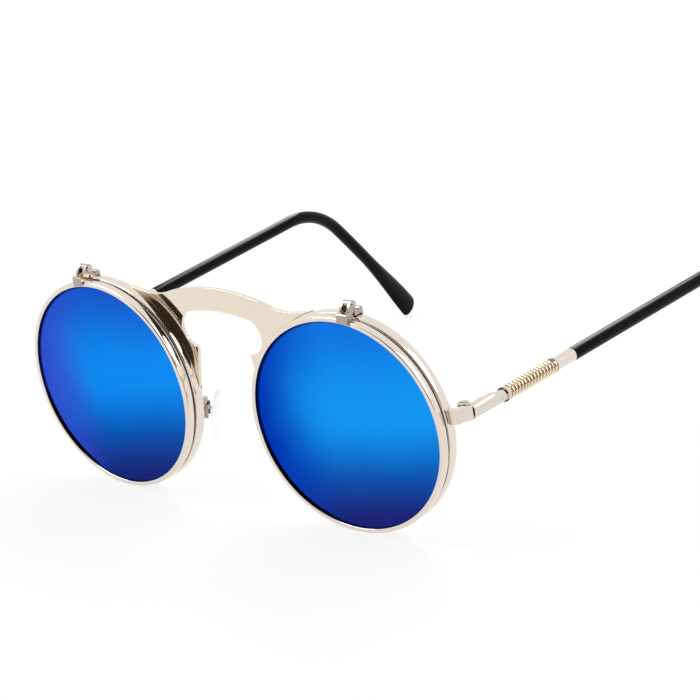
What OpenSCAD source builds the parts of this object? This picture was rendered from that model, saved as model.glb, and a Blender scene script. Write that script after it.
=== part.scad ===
// Round metal flip-up sunglasses with coil springs on the temples.
// Millimetres. The glasses stand on a table with both temples open:
// X runs across the face, +Y towards the ears, +Z up, origin on the table.

/* [Lenses and rims] */
// Radius of each lens that can be seen inside its front rim
lens_r = 24.3; // [22:0.1:26]
// Distance between the centres of the two lenses
lens_spacing = 70.6; // [66:0.1:76]
// How far each lens turns back towards the temples, in degrees
wrap = 3; // [0:0.5:6]
// Thickness of a rim, seen from the front
rim_wall = 1.2; // [1:0.05:1.6]
// Depth of the flip-up rim, front to back
flip_depth = 2.1; // [1.8:0.1:2.6]
// Space between the flip-up rim and the eye rim behind it
rim_gap = 0.7; // [0.5:0.05:1.2]
// Depth of the eye rim, front to back
eye_depth = 2.6; // [2.2:0.1:3.2]

/* [Bridge] */
// Thickness of the stamped bridge plate
plate_t = 0.9; // [0.7:0.05:1.2]
// Height of the top of the bridge above the lens centres
bridge_top = 26.85; // [26:0.05:28]

/* [Temples] */
// Distance of the temple line from the middle, level with the front
temple_x = 61.45; // [60.8:0.05:62.5]
// Height of the temple line above the lens centres
temple_z = 2.67; // [1:0.05:4]
// Angle by which each temple runs outwards, in degrees
splay = 2.17; // [0:0.1:4]
// Angle by which each temple runs downwards, in degrees
slope = 0.93; // [0:0.1:2]
// Outer radius of the coil spring
spring_r = 1.7; // [1.5:0.05:1.9]
// Thickness of the spring wire
spring_wire = 0.64; // [0.5:0.02:0.7]
// Rise of the spring in one turn
spring_pitch = 1.1; // [1.05:0.05:1.4]
// Radius of the black sleeve on the straight
sleeve_r = 1.6; // [1.4:0.05:1.8]
// Radius of the ear bend
bend_r = 26; // [20:1:34]
// Angle of the ear bend, in degrees
bend_angle = 47.6; // [35:0.1:55]
// Length of the sleeve behind the ear bend
hook_length = 44; // [36:1:50]
// Width of the flat end of the sleeve
paddle_w = 6; // [4.5:0.1:7]

/* [Hidden] */

$fn = 96;
eps = 0.01;
RIGHT = 1;
LEFT = -1;
champagne = [0.84, 0.78, 0.70];
satin = [0.89, 0.85, 0.78];
gold = [0.72, 0.60, 0.42];

// Rims, worked out from the driving sizes
rim_r = lens_r + rim_wall;
groove_r = lens_r + 0.55;
edge_chamfer = 0.22;
eye_y = flip_depth + rim_gap;
eye_back = eye_y + eye_depth;
lens_t = 1.0;
flip_groove_y = 0.6;
eye_groove_y = eye_y + 0.6;
lens_curve = 240;
lens_steps = 14;

// Bridge plate: it lies against the back of the eye rims
plate_y = eye_back - 0.7;
bow_half = 8;
crown_r = 43.1;
saddle_x = 20;
saddle_z = bridge_top - 3.65;
saddle_r = 13.5;
keyhole_top = bridge_top - 5.4;
keyhole_x = 7.4;
keyhole_z = keyhole_top - 5.25;
keyhole_r = 4.4;
keyhole_top_r = 37;

// Flip hinge, in the frame of its own lens
hinge_x = 3.9;
hinge_y = 2.8;
hinge_z = rim_r + 2.15;
leaf_w = 2.8;
fork_w = 2.5;
cheek_r = 1;
cheek_in = 0.65;
knuckle_r = 0.75;
flip_pin_r = 0.36;
leaf_t = 0.4;

// Temple hinge
joint_y = 10.4;
joint_gap = 0.5;
lug_h = 3.15;
lug_front = [62.35, 4.3];
lug_rear = [62.6, joint_y];
lug_z = [4.0, 2.88];
lug_t = 1.75;
lug_round = 1.1;
pivot = [60.0, joint_y + 0.4];
barrel_r = 1.5;
barrel_clear = 0.1;
barrel_z = [1.25, 2.15, 2.25, 3.45, 3.55, 4.35];
temple_pin_r = 0.6;
screw_head_r = 1.3;

// Stations along the temple, measured from the front
flat_end = 18.1;
collar_t = 0.9;
spring_start = 22.1;
spring_end = 40.2;
sleeve_start = 46.4;
bend_start = 102.4;
hook_curve = 440;
rod_r = 0.8;
rod_end = 128;
paddle_t = 2.4;

// Nose pads: the pad rocks on a screw through its box
pad_axis = [12.5, 7.2, -5.7];
pad_turn = 30;
pad_tilt = 12;
pad_t = 2.2;
pad_h = 12;
pad_w = 7;
pad_drop = 1.3;
pad_pin_r = 0.35;
arm_r = 0.5;

// Small geometry helpers

// Points along an arc in a plane, from one angle to another
function arc(cx, cy, r, from, to, n = 12) =
    [for (i = [0:n]) let (a = from + (to - from) * i / n) [cx + r * cos(a), cy + r * sin(a)]];

// The same outline reflected in the vertical axis, in the opposite order
function reflected(pts) =
    [for (i = [len(pts) - 1:-1:0]) [-pts[i][0], pts[i][1]]];

function unit(v) = v / norm(v);
function lerp(a, b, t) = a + (b - a) * t;
function clamp01(t) = max(0, min(1, t));
function smooth(t) = let (c = clamp01(t)) c * c * (3 - 2 * c);

// A closed skin through rings that all have the same number of points
module skin(rings) {
    n = len(rings[0]);
    m = len(rings);
    points = [for (ring = rings) for (p = ring) p];
    sides = [for (i = [0:m - 2]) for (j = [0:n - 1])
        let (a = i * n + j, b = i * n + (j + 1) % n, c = a + n, d = b + n)
        each [[a, b, d], [a, d, c]]];
    first = [for (j = [1:n - 2]) [0, j + 1, j]];
    last = [for (j = [1:n - 2]) [(m - 1) * n, (m - 1) * n + j, (m - 1) * n + j + 1]];
    polyhedron(points = points, faces = concat(sides, first, last), convexity = 10);
}

// Rings of a round tube along a path; up gives each ring a steady direction
function tube_rings(path, up, r, sides) =
    [for (i = [0:len(path) - 1])
        let (before = path[max(0, i - 1)],
             after = path[min(len(path) - 1, i + 1)],
             t = unit(after - before),
             u = unit(cross(up[i], t)),
             w = cross(t, u))
        [for (k = [0:sides - 1]) let (a = 360 * k / sides)
            path[i] + r * (cos(a) * w + sin(a) * u)]];

// Resting place: the glasses lean until rim bottoms and sleeve ends are level
function hook_x(l) = bend_start + bend_r * sin(bend_angle)
    + hook_curve * (sin(bend_angle + hook_turn(l)) - sin(bend_angle));
function hook_v(l) = -bend_r * (1 - cos(bend_angle))
    - hook_curve * (cos(bend_angle) - cos(bend_angle + hook_turn(l)));
function hook_turn(l) = l / hook_curve * 180 / PI;
cap_r = paddle_w / 2;
cap_s = hook_x(hook_length - cap_r);
cap_v = hook_v(hook_length - cap_r);
cap_y = (cap_s * cos(slope) + cap_v * sin(slope)) * cos(splay);
cap_z = temple_z + cap_v * cos(slope) - cap_s * sin(slope);
cap_reach = norm([cap_y, cap_z + rim_r]);
lean = asin(cap_r / cap_reach) + atan2(-(cap_z + rim_r), cap_y);
front_y = -(rim_r + 1.1) * sin(lean) - leaf_t;
back_y = cap_y * cos(lean) - cap_z * sin(lean) + cap_r;
table_shift = [0, -(front_y + back_y) / 2, rim_r * cos(lean)];

module placed() {
    translate(table_shift) rotate([lean, 0, 0]) children();
}

// Mirrors what is drawn for the right side when the left side is asked for
module on_side(side) {
    if (side == RIGHT) children();
    else mirror([1, 0, 0]) children();
}

// Frame of the right lens: Y runs through the lens, X outwards
module at_lens() {
    translate([lens_spacing / 2, 0, 0]) rotate([0, 0, wrap]) children();
}

// Turns a solid drawn along Z so that it runs along +Y
module along_y() {
    rotate([-90, 0, 0]) children();
}

// Turns a solid drawn along Z so that it runs along +X
module along_x() {
    rotate([0, 90, 0]) children();
}

// Extrudes an outline drawn in X and Z, from y0 back to y1
module slab_y(y0, y1) {
    translate([0, y1, 0]) rotate([90, 0, 0]) linear_extrude(y1 - y0) children();
}

// Extrudes an outline drawn in Y and Z, from x0 to x1
module slab_x(x0, x1) {
    translate([x0, 0, 0]) rotate([90, 0, 90]) linear_extrude(x1 - x0) children();
}

// Frame of the right temple: Y runs along it, X outwards
module at_temple() {
    translate([temple_x, 0, temple_z]) rotate([0, 0, -splay]) rotate([-slope, 0, 0]) children();
}

// Frame of the right flip hinge
module at_flip_hinge() {
    at_lens() translate([hinge_x, 0, 0]) children();
}

// Frame of the right nose pad: its screw runs along Y, the nose is towards -X
module at_pad() {
    translate(pad_axis) rotate([0, -pad_tilt, 0]) rotate([0, 0, -pad_turn]) children();
}

// Rims and lenses

// Round rim with a lens groove inside and bevelled edges
module ring(y0, depth, groove_at) {
    y1 = y0 + depth;
    c = edge_chamfer;
    translate([0, y0, 0]) along_y() rotate_extrude()
        polygon([[lens_r + c, 0], [rim_r - c, 0], [rim_r, c], [rim_r, depth - c],
            [rim_r - c, depth], [lens_r + c, depth], [lens_r, depth - c],
            [lens_r, groove_at - y0 + lens_t + 0.1], [groove_r, groove_at - y0 + lens_t + 0.1],
            [groove_r, groove_at - y0], [lens_r, groove_at - y0], [lens_r, c]]);
}

// Drop of a curved lens surface at a distance from its middle
function sag(r) = lens_curve - sqrt(lens_curve * lens_curve - r * r);

// Curved lens whose edge starts at y0
module lens(y0) {
    r_edge = groove_r - 0.04;
    rise = sag(r_edge);
    front = [for (i = [0:lens_steps]) let (r = r_edge * i / lens_steps) [r, sag(r) - rise]];
    back = [for (i = [lens_steps:-1:0]) let (r = r_edge * i / lens_steps) [r, sag(r) - rise + lens_t]];
    translate([0, y0 + 0.05, 0]) along_y() rotate_extrude() polygon(concat(front, back));
}

module flip_rim(side) {
    color(champagne) placed() on_side(side) at_lens() difference() {
        ring(0, flip_depth, flip_groove_y);
        // The cut beside the hinge, where the rim opens to take its lens
        translate([hinge_x + leaf_w / 2 + 0.25, -eps, lens_r - 1])
            cube([0.2, flip_depth + 2 * eps, 3]);
    }
}

module mirror_lens(side) {
    color([0.10, 0.45, 0.90]) placed() on_side(side) at_lens() lens(flip_groove_y);
}

module eye_rim(side) {
    color(champagne) placed() on_side(side) at_lens() ring(eye_y, eye_depth, eye_groove_y);
}

module clear_lens(side) {
    color([0.85, 0.90, 0.95, 0.4]) placed() on_side(side) at_lens() lens(eye_groove_y);
}

// Solid that fills everything inside the outside of an eye rim
module eye_rim_core() {
    at_lens() translate([0, eye_y, 0]) along_y() cylinder(r = rim_r, h = eye_depth);
}

// Bridge

// Where the crown of the bridge meets the hollow saddle beside it
crown_end = atan2(saddle_z + saddle_r - (bridge_top - crown_r), saddle_x);
// Where the flat top of the keyhole meets its round corner
corner_start = atan2(keyhole_z - (keyhole_top - keyhole_top_r), keyhole_x);

// Right half of the plate's upper edge, from the middle outwards
plate_upper = concat(
    arc(0, bridge_top - crown_r, crown_r, 90, crown_end, 8),
    arc(saddle_x, saddle_z + saddle_r, saddle_r, crown_end + 180, 278, 6),
    [[27.2, saddle_z + 1], [33, 12], [22, -6]]);

// Right half of the plate's lower edge, from the rim to the middle
plate_lower = concat(
    [[11.6, -5.5], [9.75, 1.2], [8.8, 6.6]],
    arc(keyhole_x, keyhole_z, keyhole_r, -85, corner_start, 16),
    arc(0, keyhole_top - keyhole_top_r, keyhole_top_r, corner_start, 90, 6));

module bridge_outline() {
    half = concat(plate_upper, plate_lower);
    inner = [for (i = [1:len(half) - 2]) half[i]];
    polygon(concat(half, reflected(inner)));
}

// The sheet the plate is cut from: flat behind each lens, bowed in the middle
module bowed_sheet() {
    flat_y = plate_y * cos(wrap);
    bow_r = bow_half / sin(max(wrap, 0.1));
    bow_front = -tan(wrap) * (lens_spacing / 2 - plate_y * sin(wrap)) + flat_y
        + bow_half * tan(wrap) - bow_r * (1 - cos(wrap));
    intersection() {
        translate([0, bow_front + bow_r, -10]) difference() {
            cylinder(r = bow_r, h = 50, $fn = 720);
            translate([0, 0, -1]) cylinder(r = bow_r - plate_t, h = 52, $fn = 720);
        }
        translate([-bow_half, bow_front - 2, -11]) cube([2 * bow_half, 8, 52]);
    }
    for (side = [RIGHT, LEFT]) on_side(side) intersection() {
        at_lens() translate([-40, plate_y, -10]) cube([60, plate_t, 50]);
        translate([bow_half, -2, -11]) cube([40, 12, 52]);
    }
}

module bridge() {
    color(satin) placed() difference() {
        intersection() {
            bowed_sheet();
            slab_y(-2, 12) bridge_outline();
        }
        for (side = [RIGHT, LEFT]) on_side(side) eye_rim_core();
        for (side = [RIGHT, LEFT]) on_side(side) at_lens() translate([0, eye_y, 0])
            along_y() cylinder(r = rim_r - 0.6, h = eye_depth + 3);
    }
}

// Flip hinge

// One cheek of the front leaf, seen from the side
module cheek_outline() {
    translate([hinge_y, hinge_z]) circle(cheek_r);
    polygon([[0.8, rim_r - 0.8], [flip_depth - 0.1, rim_r - 0.8], [flip_depth - 0.1, rim_r + 0.2],
        [hinge_y + cheek_r * cos(-35), hinge_z + cheek_r * sin(-35)], [hinge_y, hinge_z],
        [hinge_y + cheek_r * cos(130), hinge_z + cheek_r * sin(130)],
        [hinge_y + cheek_r * cos(165) - 0.3, hinge_z + cheek_r * sin(165) + 0.1],
        [0.8, rim_r + 1.4]]);
}

// Roof that joins the two cheeks over the top of the middle knuckle
module roof() {
    slab_x(-cheek_in - eps, cheek_in + eps) intersection() {
        difference() {
            translate([hinge_y, hinge_z]) circle(cheek_r);
            translate([hinge_y, hinge_z]) circle(knuckle_r + 0.1);
        }
        polygon([[hinge_y, hinge_z], [hinge_y + 0.6, hinge_z + 3], [hinge_y - 3, hinge_z + 3],
            [hinge_y - 3, hinge_z + 0.7]]);
    }
}

module flip_leaf(side) {
    fork = fork_w / 2;
    tab = leaf_w / 2;
    color(champagne) placed() on_side(side) difference() {
        at_flip_hinge() union() {
            slab_x(cheek_in, fork) cheek_outline();
            slab_x(-fork, -cheek_in) cheek_outline();
            roof();
            // The tab that is soldered over the front and the top of the rim
            slab_x(-tab, tab) polygon([[-leaf_t, rim_r - 1.5], [flip_depth - 0.1, rim_r - 1.5],
                [flip_depth - 0.1, rim_r + 0.2], [0.5, rim_r + 0.8], [0.3, rim_r + 1.05],
                [0.2 - leaf_t, rim_r + 1.05], [-leaf_t, rim_r + 0.85]]);
        }
        at_lens() along_y() cylinder(r = rim_r, h = flip_depth);
        at_lens() translate([0, -1, 0]) along_y() cylinder(r = lens_r + 0.35, h = 6);
        at_flip_hinge() translate([-tab, hinge_y, hinge_z])
            along_x() cylinder(r = flip_pin_r + 0.01, h = 2 * tab, $fn = 48);
    }
}

module flip_base(side) {
    half = fork_w / 2;
    web = cheek_in - 0.08;
    lug_y = eye_back - 0.25;
    color(champagne) placed() on_side(side) difference() {
        at_flip_hinge() union() {
            slab_x(-web, web) {
                translate([hinge_y, hinge_z]) circle(knuckle_r);
                polygon([[eye_y + 0.1, rim_r - 0.4], [eye_y + 1.8, rim_r - 0.4],
                    [hinge_y + 0.6, hinge_z - 0.5], [hinge_y - 0.3, hinge_z - 0.5]]);
            }
            // The foot across the top of the eye rim, with its lug behind
            slab_x(-half, half) {
                polygon([[eye_y + 0.1, rim_r - 0.4], [lug_y, rim_r - 0.4],
                    [lug_y, rim_r + 0.5], [eye_y + 0.1, rim_r + 0.4]]);
                translate([lug_y, rim_r + 0.35]) circle(0.7);
                translate([lug_y, rim_r - 1]) square([0.7, 1.35]);
            }
        }
        eye_rim_core();
        at_lens() translate([0, eye_back - 1, 0]) along_y() cylinder(r = rim_r - 0.5, h = 4);
        at_flip_hinge() translate([-half, hinge_y, hinge_z])
            along_x() cylinder(r = flip_pin_r + 0.05, h = 2 * half, $fn = 48);
    }
}

module flip_screw(side) {
    half = fork_w / 2;
    color(champagne) placed() on_side(side) at_flip_hinge()
        translate([0, hinge_y, hinge_z]) difference() {
            union() {
                translate([-half, 0, 0]) along_x() cylinder(r = flip_pin_r, h = fork_w, $fn = 48);
                translate([-half - 0.3, 0, 0]) along_x() cylinder(r = 0.75, h = 0.3, $fn = 48);
                translate([half, 0, 0]) along_x() cylinder(r1 = 0.66, r2 = 0.5, h = 0.22, $fn = 48);
            }
            translate([-half - 0.31, -1, -0.12]) cube([0.17, 2, 0.24]);
        }
}

// End pieces and the temple hinge

// The end piece seen from above: a leg on the rim, a round corner, a leg back
module lug_plan() {
    turn = atan2(lug_rear[0] - lug_front[0], lug_rear[1] - lug_front[1]);
    length = norm(lug_rear - lug_front);
    translate(lug_front) rotate(-turn) {
        translate([-lug_t, lug_round]) square([lug_t, length - lug_round]);
        translate([-lug_t - 2, 0]) square([lug_t + 2 - lug_round, lug_t]);
        translate([-lug_round, lug_round]) circle(lug_round);
    }
}

// The end piece seen from the side: it drops from the rim to the joint
module lug_side() {
    h = lug_h / 2;
    polygon([[lug_front[1] - 1, lug_z[0] - h], [lug_front[1] + lug_round, lug_z[0] - h],
        [lug_rear[1] + 0.01, lug_z[1] - h], [lug_rear[1] + 0.01, lug_z[1] + h],
        [lug_front[1] + lug_round, lug_z[0] + h], [lug_front[1] - 1, lug_z[0] + h]]);
}

// Cylinder on the temple pivot between two heights
module on_pivot(r, z0, z1, fn = 64) {
    translate([pivot[0], pivot[1], z0]) cylinder(r = r, h = z1 - z0, $fn = fn);
}

module end_piece(side) {
    color(champagne) placed() on_side(side) difference() {
        union() {
            difference() {
                intersection() {
                    translate([0, 0, -1]) linear_extrude(10) lug_plan();
                    slab_x(55, 66) lug_side();
                }
                // Recess for the temple's knuckle
                on_pivot(barrel_r + barrel_clear, barrel_z[1], barrel_z[4]);
            }
            // Inner leaf with its upper and lower knuckles
            for (z = [[barrel_z[0], barrel_z[1]], [barrel_z[4], barrel_z[5]]]) {
                on_pivot(barrel_r, z[0], z[1]);
                translate([pivot[0], pivot[1] - 2.3, z[0]])
                    cube([1.3, 2.1, z[1] - z[0]]);
            }
            translate([pivot[0], pivot[1] - 3.7, 1.35]) cube([1.3, 2, lug_h - 0.1]);
        }
        eye_rim_core();
        on_pivot(temple_pin_r + 0.01, barrel_z[0] - 1, barrel_z[5] + 1);
        // Seat for the screw's head, cut into the top of the leg
        on_pivot(screw_head_r + 0.06, barrel_z[5], barrel_z[5] + 2);
    }
}

module temple_screw(side) {
    color(gold) placed() on_side(side) difference() {
        union() {
            on_pivot(temple_pin_r, barrel_z[0] - 0.2, barrel_z[5]);
            on_pivot(screw_head_r, barrel_z[5], barrel_z[5] + 0.4);
        }
        translate([pivot[0] - 2, pivot[1] - 0.15, barrel_z[5] + 0.2]) cube([4, 0.3, 1]);
    }
}

// Temples

// Section of the flat front of a temple: X is its thickness, Y its height
module flat_section() {
    polygon([[-1, -1.15], [0.63, -1.15], [0.88, -0.9], [0.88, 1.2], [0.48, 1.65], [-1, 1.65]]);
}

module temple_front(side) {
    color(champagne) placed() on_side(side) difference() {
        union() {
            at_temple() {
                translate([0, flat_end, 0]) rotate([90, 0, 0])
                    linear_extrude(flat_end - joint_y - joint_gap) flat_section();
                hull() {
                    translate([0, flat_end + 0.05, 0]) rotate([90, 0, 0]) linear_extrude(0.1) flat_section();
                    translate([0, flat_end + 2.4, 0]) along_y() cylinder(r = 1.35, h = 0.1, $fn = 32);
                }
                translate([0, flat_end + 2, 0]) along_y()
                    cylinder(r = 1.35, h = spring_start - flat_end - 2);
                translate([0, spring_start - 0.3, 0]) along_y()
                    cylinder(r = spring_r, h = collar_t);
            }
            // Inner leaf with the middle knuckle
            on_pivot(barrel_r, barrel_z[2], barrel_z[3]);
            translate([pivot[0], pivot[1], barrel_z[2]])
                cube([1.2, 2.4, barrel_z[3] - barrel_z[2]]);
            translate([pivot[0] + 0.4, pivot[1] + 1.8, 1.3]) cube([1.2, 3.6, 2.6]);
        }
        // Recesses for the knuckles of the end piece
        on_pivot(barrel_r + barrel_clear, barrel_z[0] - 2, barrel_z[1] + 0.1);
        on_pivot(barrel_r + barrel_clear, barrel_z[4] - 0.1, barrel_z[5] + 2);
        on_pivot(temple_pin_r + 0.05, barrel_z[0] - 1, barrel_z[5] + 1);
        at_temple() {
            // Bore that takes the rod
            translate([0, flat_end + 1.5, 0]) along_y() cylinder(r = rod_r, h = 6, $fn = 48);
            // Pocket for the straight end of the spring wire
            translate(wound([0, 0], side) + [0, -eps, 0]) along_y()
                cylinder(r = spring_wire / 2 + 0.02, h = lead + 1, $fn = 32);
        }
    }
}

// Round bar along the temple line, from one station past the ear bend
module bent_bar(r, from, hook) {
    over = 0.3;
    translate([0, from, 0]) along_y() cylinder(r = r, h = bend_start + over - from, $fn = 48);
    translate([0, bend_start, -bend_r]) rotate([90, 0, 90]) rotate([0, 0, 90 - bend_angle])
        rotate_extrude(angle = bend_angle) translate([bend_r, 0])
            circle(r = r + 0.01, $fn = 48);
    translate([0, bend_start + bend_r * sin(bend_angle), -bend_r * (1 - cos(bend_angle))])
        rotate([-bend_angle, 0, 0]) translate([0, -over, 0]) along_y()
            cylinder(r = r, h = hook + over, $fn = 48);
}

module temple_rod(side) {
    hook = (rod_end - bend_start - bend_r * sin(bend_angle)) / cos(bend_angle);
    color(gold) placed() on_side(side) at_temple() bent_bar(rod_r, flat_end + 1.5, hook);
}

module ferrule(side) {
    color(champagne) placed() on_side(side) at_temple() difference() {
        union() {
            translate([0, spring_end + 0.3 - collar_t, 0]) along_y()
                cylinder(r = spring_r, h = collar_t);
            translate([0, spring_end + 0.3, 0]) along_y()
                cylinder(r1 = 1.45, r2 = 1.58, h = sleeve_start - spring_end - 0.3);
        }
        translate([0, spring_end - 1, 0]) along_y()
            cylinder(r = rod_r, h = sleeve_start - spring_end + 2, $fn = 48);
        // Pocket for the straight end of the spring wire
        translate(wound(spring_flat[len(spring_flat) - 1], side) - [0, lead + 1, 0]) along_y()
            cylinder(r = spring_wire / 2 + 0.02, h = lead + 1 + eps, $fn = 32);
    }
}

// Coil spring: one wire that leaves each end face square to it, then winds
coil_r = spring_r - spring_wire / 2;
lead = spring_wire;
turn_in_r = 0.45;
climb = atan2(spring_pitch, 2 * PI * coil_r);
coil_rings = 8;
turn_in_rings = 3;
end_rise = lead + turn_in_r * cos(climb);
end_run = turn_in_r * (1 - sin(climb));
coil_rise = spring_end - spring_start - 2 * end_rise;
coil_run = coil_rise / tan(climb);
coil_count = ceil(coil_run / (2 * PI * coil_r) * coil_rings);

// The wire's path unrolled: distance around the coil, distance along the temple
spring_flat = concat(
    [[0, 0], [0, lead]],
    [for (i = [1:turn_in_rings]) let (a = (90 - climb) * i / turn_in_rings)
        [turn_in_r * (1 - cos(a)), lead + turn_in_r * sin(a)]],
    [for (i = [1:coil_count - 1])
        [end_run + coil_run * i / coil_count, end_rise + coil_rise * i / coil_count]],
    [for (i = [turn_in_rings:-1:1]) let (a = (90 - climb) * i / turn_in_rings)
        [2 * end_run + coil_run - turn_in_r * (1 - cos(a)),
         2 * end_rise + coil_rise - lead - turn_in_r * sin(a)]],
    [[2 * end_run + coil_run, 2 * end_rise + coil_rise - lead],
     [2 * end_run + coil_run, 2 * end_rise + coil_rise]]);

function wound(p, hand) = let (a = hand * p[0] / coil_r * 180 / PI + 200)
    [coil_r * cos(a), spring_start + p[1], coil_r * sin(a)];
function outwards(p) = unit([p[0], 0, p[2]]);

// Least gap between the wire and itself, measured one turn apart and more
spring_path = [for (p = spring_flat) wound(p, 1)];
spring_gap = min([for (i = [0:len(spring_path) - 1])
    for (j = [i + 1:min(len(spring_path) - 1, i + 2 * coil_rings)])
        if (spring_flat[j][0] - spring_flat[i][0] > 3 * coil_r)
            norm(spring_path[j] - spring_path[i]) - spring_wire]);
echo(spring_least_gap_mm = spring_gap, spring_turns = coil_run / (2 * PI * coil_r));

module temple_spring(side) {
    // The left temple is drawn mirrored, so its path is wound the other way first
    path = [for (p = spring_flat) wound(p, side)];
    rings = tube_rings(path, [for (p = path) outwards(p)], spring_wire / 2, 6);
    color(gold) placed() on_side(side) at_temple() skin(rings);
}

// Black sleeve: round on the straight, flat and wide at its end
function sleeve_point(l) =
    l < bend_start ? [l, 0, 0]
    : l < bend_start + bend_arc
        ? let (a = (l - bend_start) / bend_r * 180 / PI)
            [bend_start + bend_r * sin(a), -bend_r * (1 - cos(a)), a]
        : let (h = l - bend_start - bend_arc) [hook_x(h), hook_v(h), bend_angle + hook_turn(h)];
bend_arc = bend_r * bend_angle * PI / 180;
sleeve_end = bend_start + bend_arc + hook_length;
function to_end(l) = clamp01((sleeve_end - l) / cap_r);
function end_round(l) = sqrt(max(0.0004, 1 - (1 - to_end(l)) * (1 - to_end(l))));
function widening(l) = smooth((l - sleeve_end + hook_length - 4) / (hook_length - 8));
function half_width(l) = lerp(sleeve_r, paddle_w / 2, widening(l)) * end_round(l);
function half_thick(l) = lerp(sleeve_r, paddle_t / 2, widening(l)) * end_round(l);
sleeve_sides = 20;
sleeve_stations = concat(
    [sleeve_start, sleeve_start + 0.3, 75, bend_start],
    [for (i = [1:8]) bend_start + bend_arc * i / 8],
    [for (i = [1:9]) bend_start + bend_arc + (hook_length - cap_r) * i / 9],
    [for (a = [20:14:76]) sleeve_end - cap_r * (1 - sin(a))],
    [sleeve_end - 0.01]);

function sleeve_ring(l) =
    let (p = sleeve_point(l),
         ease = l == sleeve_start ? 0.9 : 1,
         w = half_width(l) * ease,
         t = half_thick(l) * ease)
    [for (k = [0:sleeve_sides - 1]) let (a = 360 * k / sleeve_sides)
        [t * cos(a), p[0] + w * sin(a) * sin(p[2]), p[1] + w * sin(a) * cos(p[2])]];

module temple_tip(side) {
    hook = (rod_end - bend_start - bend_r * sin(bend_angle)) / cos(bend_angle);
    color([0.05, 0.05, 0.06]) placed() on_side(side) at_temple() difference() {
        skin([for (l = sleeve_stations) sleeve_ring(l)]);
        bent_bar(rod_r + 0.02, sleeve_start - 1, hook + 0.02);
    }
}

// Nose pads

// Route of the pad arm from the back of the eye rim to the pad's box
arm_route = [[10.6, 3.3, -3.2], [10.8, 5.0, -3.0], [11.6, 6.6, -2.8], [13.0, 7.6, -3.2],
    [14.3, 7.4, -4.2], [14.5, 6.8, -5.3], [14.2, 6.5, -5.9]];
arm_steps = 4;

// Smooth curve through the points of a route
function spline(p, i, t) =
    let (a = p[max(0, i - 1)], b = p[i], c = p[i + 1], d = p[min(len(p) - 1, i + 2)])
    0.5 * (2 * b + (c - a) * t + (2 * a - 5 * b + 4 * c - d) * t * t
        + (3 * b - a - 3 * c + d) * t * t * t);
arm_path = concat([for (i = [0:len(arm_route) - 2]) for (k = [0:arm_steps - 1])
    spline(arm_route, i, k / arm_steps)], [arm_route[len(arm_route) - 1]]);

module pad_arm(side) {
    cheek_y = 0.85;
    box_h = 3.4;
    color(champagne) placed() on_side(side) difference() {
        union() {
            skin(tube_rings(arm_path, [for (p = arm_path) [0.2, 0.3, 1]], arm_r, 10));
            at_pad() {
                for (y = [-cheek_y - 0.4, cheek_y])
                    translate([-0.6, y, -box_h / 2]) cube([2.3, 0.4, box_h]);
                translate([1.25, -cheek_y - 0.4, -box_h / 2])
                    cube([0.45, 2 * cheek_y + 0.8, box_h]);
            }
        }
        eye_rim_core();
        at_pad() translate([0, -2, 0]) along_y() cylinder(r = pad_pin_r + 0.01, h = 4, $fn = 48);
        at_pad() translate([-1.2, -cheek_y, -2]) cube([2.45, 2 * cheek_y, 4]);
    }
}

module nose_pad(side) {
    color([0.93, 0.95, 0.95, 0.5]) placed() on_side(side) at_pad() difference() {
        union() {
            translate([-1.3 - pad_t / 2, 0, -pad_drop]) hull()
                for (p = [[0, 1], [1, -0.3], [-1, -0.3], [0.55, -1], [-0.55, -1]])
                    translate([0, p[0] * (pad_w - pad_t) / 2, p[1] * (pad_h - pad_t) / 2])
                        sphere(r = pad_t / 2, $fn = 24);
            translate([-1.8, -0.75, -0.75]) cube([1.8, 1.5, 1.5]);
            translate([0, -0.75, 0]) along_y() cylinder(r = 0.9, h = 1.5, $fn = 48);
        }
        translate([0, -2, 0]) along_y() cylinder(r = pad_pin_r + 0.05, h = 4, $fn = 48);
    }
}

module pad_screw(side) {
    color(champagne) placed() on_side(side) at_pad() {
        translate([0, -1.25, 0]) along_y() cylinder(r = pad_pin_r, h = 2.6, $fn = 48);
        translate([0, 1.25, 0]) along_y() cylinder(r = 0.6, h = 0.3, $fn = 48);
    }
}

bridge();
eye_rim(RIGHT);  // eye_rim_right
eye_rim(LEFT);  // eye_rim_left
clear_lens(RIGHT);  // clear_lens_right
clear_lens(LEFT);  // clear_lens_left
flip_base(RIGHT);  // flip_base_right
flip_base(LEFT);  // flip_base_left
flip_leaf(RIGHT);  // flip_leaf_right
flip_leaf(LEFT);  // flip_leaf_left
flip_screw(RIGHT);  // flip_screw_right
flip_screw(LEFT);  // flip_screw_left
flip_rim(RIGHT);  // flip_rim_right
flip_rim(LEFT);  // flip_rim_left
mirror_lens(RIGHT);  // mirror_lens_right
mirror_lens(LEFT);  // mirror_lens_left
end_piece(RIGHT);  // end_piece_right
end_piece(LEFT);  // end_piece_left
temple_screw(RIGHT);  // temple_screw_right
temple_screw(LEFT);  // temple_screw_left
temple_front(RIGHT);  // temple_front_right
temple_front(LEFT);  // temple_front_left
temple_rod(RIGHT);  // temple_rod_right
temple_rod(LEFT);  // temple_rod_left
temple_spring(RIGHT);  // temple_spring_right
temple_spring(LEFT);  // temple_spring_left
ferrule(RIGHT);  // ferrule_right
ferrule(LEFT);  // ferrule_left
temple_tip(RIGHT);  // temple_tip_right
temple_tip(LEFT);  // temple_tip_left
pad_arm(RIGHT);  // pad_arm_right
pad_arm(LEFT);  // pad_arm_left
nose_pad(RIGHT);  // nose_pad_right
nose_pad(LEFT);  // nose_pad_left
pad_screw(RIGHT);  // pad_screw_right
pad_screw(LEFT);  // pad_screw_left
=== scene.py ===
"""Looks of a pair of round metal flip-up sunglasses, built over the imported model.

The sizes of the glasses are in millimetres and degrees, those of the studio in metres.
"""

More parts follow.
